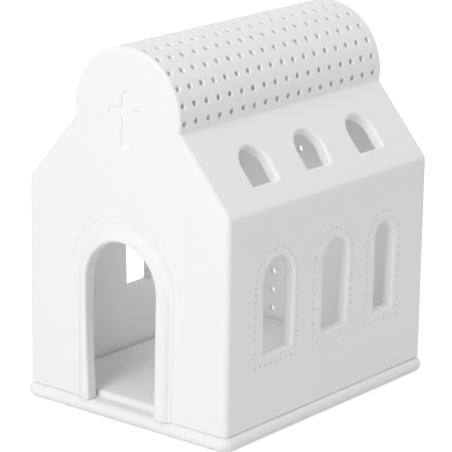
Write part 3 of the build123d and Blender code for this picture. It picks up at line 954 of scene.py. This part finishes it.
def turned(skin, profile):
    """A closed or axis-to-axis profile turned about the candle's axis: each profile point at distance r and
    height z makes a ring. The normal is square to the profile, half way between its two neighbours."""
    profile = np.array(profile)
    ahead, behind = np.roll(profile, -1, axis=0), np.roll(profile, 1, axis=0)
    if profile[0, 0] == 0:
        behind[0], ahead[-1] = profile[0] - (1.0, 0), profile[-1] - (1.0, 0)
    else:
        ahead[-1], behind[0] = profile[1], profile[-2]
    steps = unit(ahead - profile) + unit(profile - behind)
    out = unit(np.stack([steps[:, 1], -steps[:, 0]], -1))
    ring = circle_of(TURN_STEPS)
    level = np.broadcast_to(profile[:, 1, None, None], (len(profile), TURN_STEPS, 1))
    points = np.concatenate([profile[:, 0, None, None] * ring, level], -1) + (0, CUP_Y, PAD_TOP)
    lift = np.broadcast_to(out[:, 1, None, None], level.shape)
    skin.add_grid(points, np.concatenate([out[:, 0, None, None] * ring, lift], -1), closed=True)


aluminium, shade, surface, place = new_finish("drawn_aluminium", Metallic=1.0)
stretched = shade.node("ShaderNodeMapping", {}, {"Vector": place, "Scale": (1, 1, STREAK_STRETCH)})
streaks = noise(shade, stretched, STREAK_SCALE, detail=3.0)
dulling = noise(shade, place, DULLING_SCALE)
coloured(shade, surface, dulling, ALUMINIUM_DARK, ALUMINIUM_LIGHT)
(CUP_ROUGHNESS + dulling * DULLING_SPREAD + streaks * STREAK_SPREAD).to(surface, "Roughness")
bumped(shade, surface, streaks, *STREAK_BUMP)

inner_r, neck_z = CUP_RADIUS - CUP_SHEET, CUP_HEIGHT - 3 * CUP_BEAD
inner_round = CUP_FOOT_ROUND - CUP_SHEET / 2
cup_profile = [(0, 0), (CUP_MIDDLE, 0)]
cup_profile += arc(CUP_RADIUS - CUP_FOOT_ROUND, CUP_FOOT_ROUND, CUP_FOOT_ROUND, -90, 0)
cup_profile += [(CUP_RADIUS, CUP_MIDDLE), (CUP_RADIUS, neck_z)]
cup_profile += arc(CUP_RADIUS - CUP_BEAD / 2, CUP_HEIGHT - CUP_BEAD, CUP_BEAD, -30, 180, BEAD_STEPS)
cup_profile += [(inner_r, neck_z), (inner_r, CUP_MIDDLE)]
cup_profile += arc(inner_r - inner_round, CUP_SHEET + inner_round, inner_round, 0, -90)
cup_profile += [(CUP_MIDDLE, CUP_SHEET), (0, CUP_SHEET)]
cup_skin = Skin()
turned(cup_skin, cup_profile)
cup = cup_skin.piece("aluminium_cup", aluminium)
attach(cup, "tealight")
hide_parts("tealight_cup")

# Wick tab
# A stamped disc of tinned steel with a short neck that grips the wick's foot. It lies on the cup's floor,
# under the wax, so only a cut candle shows it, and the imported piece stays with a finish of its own.
TIN_DARK = (0.5, 0.51, 0.52, 1)
TIN_LIGHT = (0.66, 0.67, 0.68, 1)
SPANGLE_SCALE = 700.0
TIN_ROUGHNESS = 0.3
SPANGLE_SPREAD = 0.2

tinned, shade, surface, place = new_finish("tinned_steel", Metallic=1.0)
spangle = noise(shade, place, SPANGLE_SCALE)
coloured(shade, surface, spangle, TIN_DARK, TIN_LIGHT)
(TIN_ROUGHNESS + spangle * SPANGLE_SPREAD).to(surface, "Roughness")
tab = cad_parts["wick_tab"]
tab.data.materials.clear()
tab.data.materials.append(tinned)

# Wick
# Braided cotton primed with wax. It stands in the neck of the tab, comes up through the wax and leans
# a little to one side.
WICK_RADIUS = 0.72
WICK_FOOT = 0.8
WICK_TOP = 22.2
WICK_LEAN = 0.55
WICK_TIP = 0.5
WICK_GRID = (150, 32)
BRAID_DEPTH = 0.07
BRAID_STRANDS = 4
BRAID_TURNS = 2.4
WAX_LEVEL = 13.8
COTTON_DARK = (0.78, 0.75, 0.68, 1)
COTTON_LIGHT = (0.93, 0.91, 0.86, 1)
FIBRE_SCALE = 5200.0
COTTON_ROUGHNESS = 0.6
FIBRE_SPREAD = 0.25
FIBRE_BUMP = (0.5, 0.0001)

height = np.linspace(WICK_FOOT, WICK_TOP, WICK_GRID[0])[:, None]
turn = np.linspace(0, 2 * math.pi, WICK_GRID[1], endpoint=False)[None, :]
left_strand = np.cos(BRAID_STRANDS * turn + BRAID_TURNS * height)
right_strand = np.cos(BRAID_STRANDS * turn - BRAID_TURNS * height)
tip = np.clip((WICK_TOP - height) / WICK_TIP, 0, 1)
braid = 1 - BRAID_DEPTH + BRAID_DEPTH * left_strand * right_strand
radius = WICK_RADIUS * braid * np.sqrt(1 - (1 - tip) ** 2)
lean = WICK_LEAN * (np.clip(height - WAX_LEVEL, 0, None) / (WICK_TOP - WAX_LEVEL)) ** 2
level = np.broadcast_to(height + PAD_TOP, radius.shape)
points = np.stack([radius * np.cos(turn) + lean, radius * np.sin(turn) + CUP_Y, level], -1)
across = np.roll(points, -1, axis=1) - np.roll(points, 1, axis=1)
along = np.gradient(points, axis=0)
normals = unit(np.cross(across, along))
normals[0], normals[-1] = (0, 0, -1), (0, 0, 1)
wick_skin = Skin()
wick_skin.add_grid(points, normals, closed=True)
flat_cover(wick_skin, points[0], (0, 0, -1))

cotton, shade, surface, place = new_finish("waxed_cotton")
fibre = noise(shade, place, FIBRE_SCALE, detail=3.0)
coloured(shade, surface, fibre, COTTON_DARK, COTTON_LIGHT)
(COTTON_ROUGHNESS + fibre * FIBRE_SPREAD).to(surface, "Roughness")
bumped(shade, surface, fibre, *FIBRE_BUMP)
wick = wick_skin.piece("cotton_wick", cotton)
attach(wick, "tealight")
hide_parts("wick")

# Wax
# White paraffin poured into the cup, round the tab and the wick. Its surface creeps up a little at the
# cup's wall and at the wick, and its underside leaves room for the tab.
WAX_RADIUS = 18.3
WAX_FOOT = 0.45
WICK_HOLE = 0.78
CREEP = 0.35
CREEP_REACHES = (0.7, 0.8)
TAB_HOLLOW = ((WICK_HOLE, 5.0), (1.68, 4.8), (1.68, 0.9), (6.35, 0.88), (6.35, WAX_FOOT))
WAX_FOOT_ROUND = 0.8
WAX_RINGS = ((WICK_HOLE, 4, 10), (5, 15, 6), (15.5, WAX_RADIUS, 8))
PARAFFIN_DARK = (0.86, 0.855, 0.83, 1)
PARAFFIN_LIGHT = (0.93, 0.928, 0.91, 1)
CRYSTAL_SCALE = 420.0
POOL_SCALE = 70.0
POOL_SHARE = 0.5
WAX_ROUGHNESS = 0.34
POOL_SPREAD = 0.16
WAX_RELIEF = (0.8, 0.1)
WAX_BUMP = (0.4, 0.0004)
GLOW_SHARE = 0.25
GLOW_DEPTHS = (0.002, 0.0017, 0.0014)

surface_r = np.concatenate([np.linspace(*rings) for rings in WAX_RINGS])
at_wick = np.exp(-(surface_r - WICK_HOLE) / CREEP_REACHES[0])
at_wall = np.exp(-(WAX_RADIUS - surface_r) / CREEP_REACHES[1])
creep = CREEP * (at_wick + at_wall)
wax_profile = [*zip(surface_r[::-1], (WAX_LEVEL - CREEP / 2 + creep)[::-1]), *TAB_HOLLOW]
wax_profile += arc(WAX_RADIUS - WAX_FOOT_ROUND, WAX_FOOT + WAX_FOOT_ROUND, WAX_FOOT_ROUND, -90, 0)
wax_profile += [(WAX_RADIUS, CUP_MIDDLE), wax_profile[0]]
wax_skin = Skin()
turned(wax_skin, wax_profile)

paraffin, shade, surface, place = new_finish("white_paraffin", Subsurface_Weight=GLOW_SHARE,
                                             Subsurface_Radius=GLOW_DEPTHS)
crystals = noise(shade, place, CRYSTAL_SCALE, detail=4.0)
pool = noise(shade, place, POOL_SCALE)
mottle = crystals * (1 - POOL_SHARE) + pool * POOL_SHARE
coloured(shade, surface, mottle, PARAFFIN_DARK, PARAFFIN_LIGHT)
(WAX_ROUGHNESS + pool * POOL_SPREAD).to(surface, "Roughness")
bumped(shade, surface, pool * WAX_RELIEF[0] + crystals * WAX_RELIEF[1], *WAX_BUMP)
wax = wax_skin.piece("paraffin_fill", paraffin)
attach(wax, "tealight")
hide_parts("tealight_wax")

# Room
# The camera has the photo's viewing angle and long lens. Floor and sky look white to it and to reflections,
# and light the object only weakly. Soft boxes stand round the house, and a weak hidden lamp in it stands in
# for the light that comes in through its openings.
CAMERA_PLACE = (0.6471, -0.8153, 0.3709)
CAMERA_TURN = 38.548
CAMERA_LIFT = 16.097
CAMERA_ROLL = 0.9009
CAMERA_LENS = 201.86
CAMERA_SENSOR = 36


def outward(turn, lift):
    """Direction at a turn counted from the front towards the right, and at a lift, in degrees."""
    turn, lift = math.radians(turn), math.radians(lift)
    return Vector((math.sin(turn) * math.cos(lift), -math.cos(turn) * math.cos(lift), math.sin(lift)))


turn, roll = math.radians(CAMERA_TURN), math.radians(CAMERA_ROLL)
right = Vector((math.cos(turn), math.sin(turn), 0))
back = outward(CAMERA_TURN, CAMERA_LIFT)
above = back.cross(right)
rolled_right = math.cos(roll) * right + math.sin(roll) * above
rolled_above = math.cos(roll) * above - math.sin(roll) * right
camera = added("camera", bpy.data.cameras.new("camera"))
camera.data.lens = CAMERA_LENS
camera.data.sensor_width = CAMERA_SENSOR
axes = Matrix((rolled_right, rolled_above, back)).transposed()
camera.matrix_world = Matrix.Translation(CAMERA_PLACE) @ axes.to_4x4()
bpy.context.scene.camera = camera

FLOOR_CORNERS = [(-4, -4, 0), (4, -4, 0), (4, 4, 0), (-4, 4, 0)]
PAPER_GREY = (0.85, 0.85, 0.85, 1)
PAPER_ROUGHNESS = 0.9
WHITE = (1, 1, 1, 1)
GLOW_SPAN = {"From Min": 0.3, "From Max": 2.2, "To Min": 0.45, "To Max": 0.95}
SKY_STRENGTH = 0.22


def seen_rays(shade):
    """1 for rays of the camera, and 1 for rays that come by way of a gloss or through something clear."""
    camera_ray = shade.node("ShaderNodeLightPath", {}, {}, output="Is Camera Ray")
    rays = camera_ray.socket.node.outputs
    gloss, clear = (Shade(shade.tree, rays[name]) for name in ("Is Glossy Ray", "Is Transmission Ray"))
    return camera_ray, gloss + clear


# The floor's glow grows with the distance, so that shadows stay by the house and the background is white
floor_mesh = bpy.data.meshes.new("floor")
floor_mesh.from_pydata(FLOOR_CORNERS, [], [(0, 1, 2, 3)])
floor = added("floor", floor_mesh)
paper, shade, surface, place = new_finish("white_paper", Base_Color=PAPER_GREY, Roughness=PAPER_ROUGHNESS,
                                          Emission_Color=WHITE)
direct, mirrored = seen_rays(shade)
distance = shade.node("ShaderNodeVectorMath", {"operation": "LENGTH"}, {0: place}, output="Value")
glow = shade.node("ShaderNodeMapRange", {}, {"Value": distance, **GLOW_SPAN})
((direct + mirrored) * glow).to(surface, "Emission Strength")
floor_mesh.materials.append(paper)

world = bpy.data.worlds.new("studio")
world.use_nodes = True
bpy.context.scene.world = world
background = world.node_tree.nodes["Background"]
background.inputs["Color"].default_value = WHITE
sky = Shade(world.node_tree)
direct, mirrored = seen_rays(sky)
seen = sky.node("ShaderNodeMath", {"operation": "MAXIMUM"}, {0: direct, 1: mirrored})
(seen * (1 - SKY_STRENGTH) + SKY_STRENGTH).to(background, "Strength")

LAMP_DISTANCE = 1.6
HOUSE_MIDDLE = Vector((0, 0, 0.08))
INNER_PLACE = (0, 0.018, 0.055)
INNER_SIZE = 0.03
INNER_POWER = 0.025


def lamp(name, turn, lift, size, power):
    """A square soft box at this turn and lift, aimed at the middle of the house."""
    way = outward(turn, lift)
    light = bpy.data.lights.new(name, "AREA")
    light.size = size
    light.energy = power
    box = added(name, light)
    box.location = HOUSE_MIDDLE + LAMP_DISTANCE * way
    box.rotation_euler = way.to_track_quat("Z", "Y").to_euler()


lamp("front_low_box", 9, 20, 0.7, 9.65)
lamp("front_high_box", 4, 44, 0.7, 4.2)
lamp("right_box", 108, 22, 0.8, 2.6)
lamp("right_back_box", 152, 26, 0.7, 3.6)
lamp("left_box", -110, 30, 0.7, 4.0)
lamp("top_box", 0, 84, 1.2, 7.6)
inner_light = bpy.data.lights.new("inner_fill", "POINT")
inner_light.energy = INNER_POWER
inner_light.shadow_soft_size = INNER_SIZE
inner_lamp = added("inner_fill", inner_light)
inner_lamp.location = INNER_PLACE
inner_lamp.visible_camera = False

bpy.context.scene.view_settings.view_transform = "Standard"
